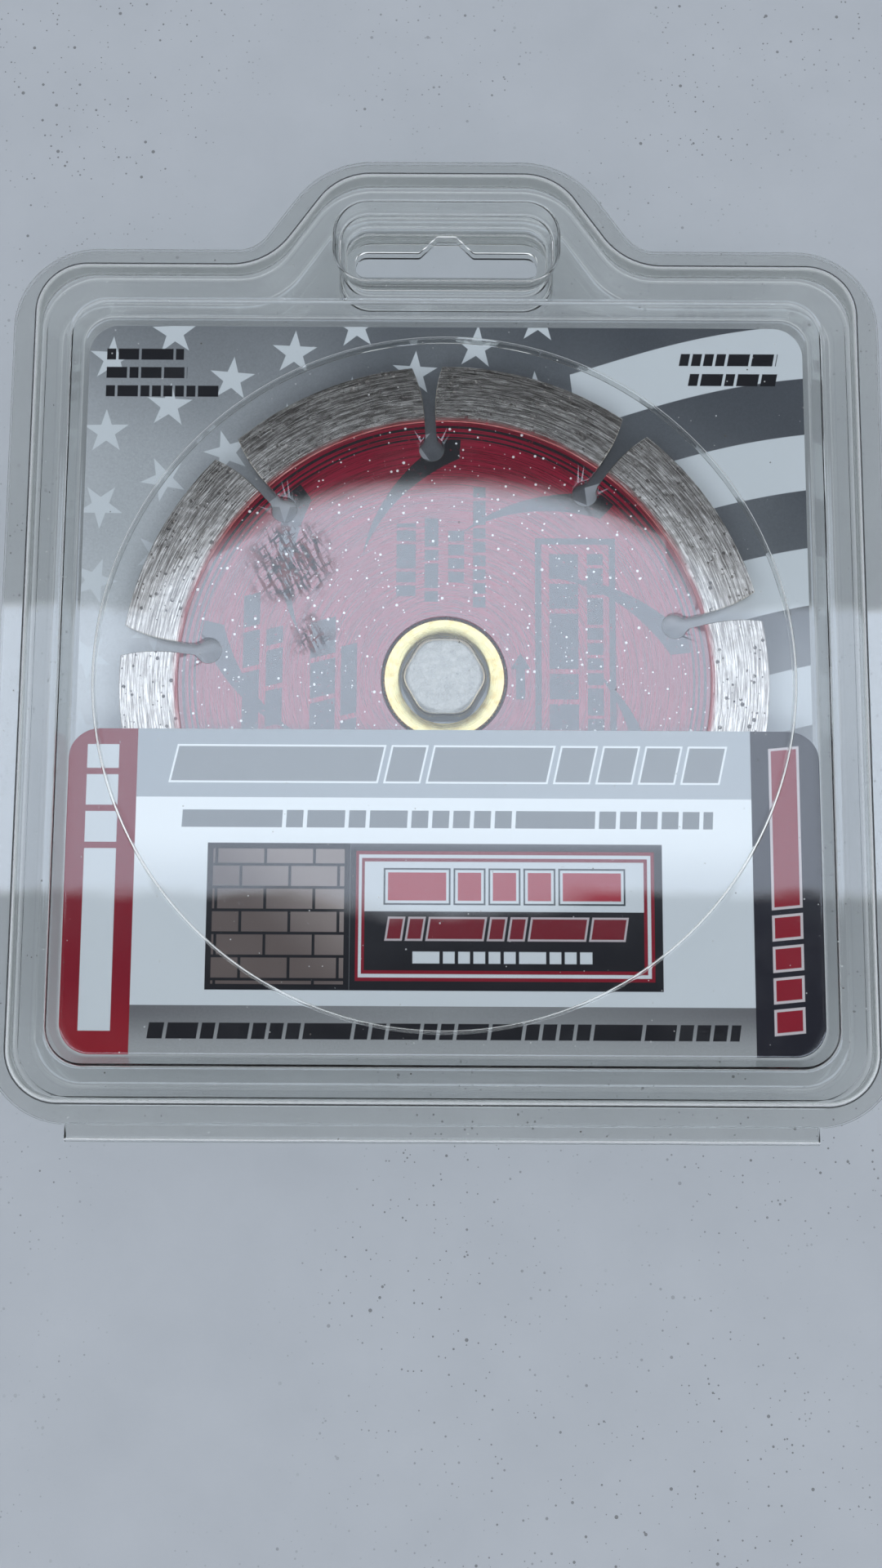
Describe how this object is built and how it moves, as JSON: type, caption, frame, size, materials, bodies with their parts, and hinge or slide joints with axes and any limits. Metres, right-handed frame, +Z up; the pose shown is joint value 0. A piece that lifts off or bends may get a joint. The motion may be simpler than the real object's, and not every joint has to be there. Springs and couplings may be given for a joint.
{
  "type": "segmented diamond blade in clamshell pack",
  "caption": "Segmented dry-cutting diamond blade with a reducing bush, held between printed cards in a clear hinged clamshell with a slotted hang tab.",
  "frame": {"origin": "middle of the closed pack's bounding box in plan, on the plane it rests on; the blade's axis crosses that plane 8.45 mm below it, at x 0, y -0.00845", "axes": "+Z up out of the label side along the blade's axis, +Y towards the hang tab, +X to the right as the label is read"},
  "size_m": [0.157, 0.1764, 0.0132],
  "materials": {
    "clear_plastic": "clear thermoformed sheet, slightly grey, fine dust and handling marks",
    "rear_print": "printed card, grey fade with white stars and stripes",
    "front_print": "printed card, white field with red, navy and grey bands",
    "core_paint": "deep red metallic paint over circular grinding marks",
    "sintered_metal": "sintered metal with diamond grit, ground along the rim",
    "bush_brass": "bright plated, knurled edge"
  },
  "bodies": {
    "tray": {"rear_shell": "clear_plastic", "hinge_strip": "clear_plastic", "rear_card": "rear_print"},
    "lid": {"front_shell": "clear_plastic", "front_card": "front_print"},
    "bush": {"arbor_bush": "bush_brass"},
    "blade": {"blade_core": "core_paint", "segment_1": "sintered_metal", "segment_2": "sintered_metal", "segment_3": "sintered_metal", "segment_4": "sintered_metal", "segment_5": "sintered_metal", "segment_6": "sintered_metal", "segment_7": "sintered_metal", "segment_8": "sintered_metal", "segment_9": "sintered_metal"}
  },
  "joints": [
    {"name": "lid_hinge", "type": "hinge", "parent": "tray", "child": "lid", "pos_m": [0, -0.08735, 0.0066], "axis": [1, 0, 0], "range_deg": [0, 180]},
    {"name": "blade_spin", "type": "hinge", "parent": "tray", "child": "bush", "pos_m": [0, -0.00845, 0.0066], "axis": [0, 0, 1], "continuous": true},
    {"name": "blade_lift", "type": "slide", "parent": "bush", "child": "blade", "axis": [0, 0, 1], "range_m": [0, 0.015]}
  ],
  "couplings": [
    {"joint": "blade_lift", "follows": "lid_hinge", "m_per_rad": 0.0047}
  ]
}
